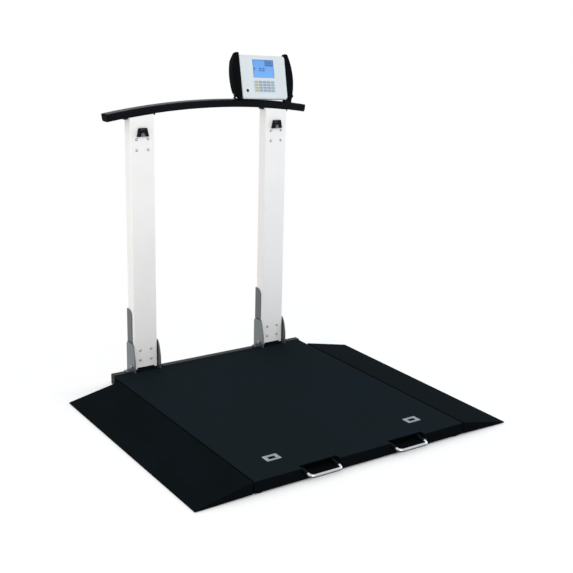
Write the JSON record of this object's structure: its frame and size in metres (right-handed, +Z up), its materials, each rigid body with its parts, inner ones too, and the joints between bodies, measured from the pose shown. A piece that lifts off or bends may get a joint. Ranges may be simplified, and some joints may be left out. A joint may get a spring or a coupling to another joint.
{
  "type": "handrail scale",
  "caption": "Low wheelchair platform scale with side ramps, an arched handrail on posts that fold flat onto the deck, and a tilting weight display with a keypad.",
  "frame": {"origin": "on the floor, under the middle of the box around the whole scale", "axes": "+Z up; +Y from the deck's front edge with the pull handles to the posts, the way a person on the deck faces; +X to that person's right, where the display stands"},
  "size_m": [1.205, 1.0696, 1.1884],
  "materials": {
    "deck_coat": "rough textured anti-slip coating, dull",
    "ramp_coat": "rough textured anti-slip coating, dull",
    "black_coat": "satin powder coat",
    "rail_skin": "fine-grained soft-touch black coat, dull",
    "white_coat": "smooth white powder coat, satin",
    "grey_coat": "dark grey powder coat, satin",
    "light_grey_coat": "mid grey powder coat, satin",
    "bright_steel": "polished plating",
    "zinc": "zinc plated, satin",
    "aluminium": "milled, satin",
    "black_rubber": "dull moulded rubber",
    "black_plastic": "fine-grained moulding",
    "white_plastic": "smooth moulding, satin",
    "screen_blue": "clear window over a lit blue screen, glossy",
    "keypad_grey": "flexible printed film",
    "board_green": "solder resist, satin"
  },
  "bodies": {
    "base": {"deck_plate": "deck_coat", "rear_beam": "black_coat", "ramp_left": "ramp_coat", "ramp_right": "ramp_coat", "ramp_seal_left": "black_rubber", "ramp_seal_right": "black_rubber", "keeper_left": "bright_steel", "keeper_right": "bright_steel", "load_cell_front_left": "aluminium", "load_cell_front_right": "aluminium", "load_cell_rear_left": "aluminium", "load_cell_rear_right": "aluminium", "junction_box": "grey_coat", "bracket_channel_left": "grey_coat", "bracket_channel_right": "grey_coat", "bracket_gussets_left": "light_grey_coat", "bracket_gussets_right": "light_grey_coat", "lug_bolt_left": "zinc", "lug_bolt_right": "zinc", "hinge_pin_left": "zinc", "hinge_pin_right": "zinc", "wheel_axle_left": "zinc", "wheel_axle_right": "zinc"},
    "rail_frame": {"post_left": "white_coat", "post_right": "white_coat", "hinge_foot_left": "black_coat", "hinge_foot_right": "black_coat", "post_saddle_left": "black_coat", "post_saddle_right": "black_coat", "handrail": "rail_skin", "rail_cap_left": "black_plastic", "rail_cap_right": "black_plastic", "latch_housing_left": "black_plastic", "latch_housing_right": "black_plastic", "display_bracket": "black_coat"},
    "display": {"display_front": "white_plastic", "display_back": "white_plastic", "side_bumper_left": "black_rubber", "side_bumper_right": "black_rubber", "tilt_screw_left": "black_plastic", "tilt_screw_right": "black_plastic", "lcd_window": "screen_blue", "lcd_module": "zinc", "keypad": "keypad_grey", "main_board": "board_green", "battery_pack": "black_plastic"},
    "power_button": {"power_button": "black_plastic"},
    "lock_pin_left": {"lock_pin_left": "black_plastic"},
    "lock_pin_right": {"lock_pin_right": "black_plastic"},
    "latch_tongue_left": {"latch_tongue_left": "aluminium"},
    "latch_tongue_right": {"latch_tongue_right": "aluminium"},
    "pull_handle_left": {"pull_handle_left": "bright_steel"},
    "pull_handle_right": {"pull_handle_right": "bright_steel"},
    "wheel_left": {"wheel_left": "black_rubber"},
    "wheel_right": {"wheel_right": "black_rubber"},
    "foot_front_left": {"foot_front_left": "black_rubber"},
    "foot_front_right": {"foot_front_right": "black_rubber"},
    "foot_rear_left": {"foot_rear_left": "black_rubber"},
    "foot_rear_right": {"foot_rear_right": "black_rubber"}
  },
  "joints": [
    {"name": "fold_hinge", "type": "hinge", "parent": "base", "child": "rail_frame", "pos_m": [0, 0.47415, 0.066], "axis": [1, 0, 0], "range_deg": [0, 90]},
    {"name": "display_tilt", "type": "hinge", "parent": "rail_frame", "child": "display", "pos_m": [0.22489, 0.47229, 1.03014], "axis": [0.9985, 0, -0.0542], "range_deg": [-30, 5]},
    {"name": "power_press", "type": "slide", "parent": "display", "child": "power_button", "axis": [-0.0155, 0.9583, -0.2853], "range_m": [0, 0.001], "stiffness_N_per_m": 800, "springref_m": -0.001},
    {"name": "lock_slide_left", "type": "slide", "parent": "base", "child": "lock_pin_left", "axis": [0, -1, 0], "range_m": [0, 0.006]},
    {"name": "latch_slide_left", "type": "slide", "parent": "rail_frame", "child": "latch_tongue_left", "axis": [0, 0, 1], "range_m": [0, 0.0045]},
    {"name": "handle_hinge_left", "type": "hinge", "parent": "base", "child": "pull_handle_left", "pos_m": [-0.17, -0.46935, 0.0345], "axis": [-1, 0, 0], "range_deg": [0, 13]},
    {"name": "wheel_spin_left", "type": "hinge", "parent": "base", "child": "wheel_left", "pos_m": [-0.3915, 0.47465, 0.021], "axis": [1, 0, 0], "continuous": true},
    {"name": "lock_slide_right", "type": "slide", "parent": "base", "child": "lock_pin_right", "axis": [0, -1, 0], "range_m": [0, 0.006]},
    {"name": "latch_slide_right", "type": "slide", "parent": "rail_frame", "child": "latch_tongue_right", "axis": [0, 0, 1], "range_m": [0, 0.0045]},
    {"name": "handle_hinge_right", "type": "hinge", "parent": "base", "child": "pull_handle_right", "pos_m": [0.17, -0.46935, 0.0345], "axis": [-1, 0, 0], "range_deg": [0, 13]},
    {"name": "wheel_spin_right", "type": "hinge", "parent": "base", "child": "wheel_right", "pos_m": [0.3915, 0.47465, 0.021], "axis": [1, 0, 0], "continuous": true},
    {"name": "foot_screw_front_left", "type": "slide", "parent": "base", "child": "foot_front_left", "axis": [0, 0, -1], "range_m": [0, 0.008]},
    {"name": "foot_screw_front_right", "type": "slide", "parent": "base", "child": "foot_front_right", "axis": [0, 0, -1], "range_m": [0, 0.008]},
    {"name": "foot_screw_rear_left", "type": "slide", "parent": "base", "child": "foot_rear_left", "axis": [0, 0, -1], "range_m": [0, 0.008]},
    {"name": "foot_screw_rear_right", "type": "slide", "parent": "base", "child": "foot_rear_right", "axis": [0, 0, -1], "range_m": [0, 0.008]}
  ]
}
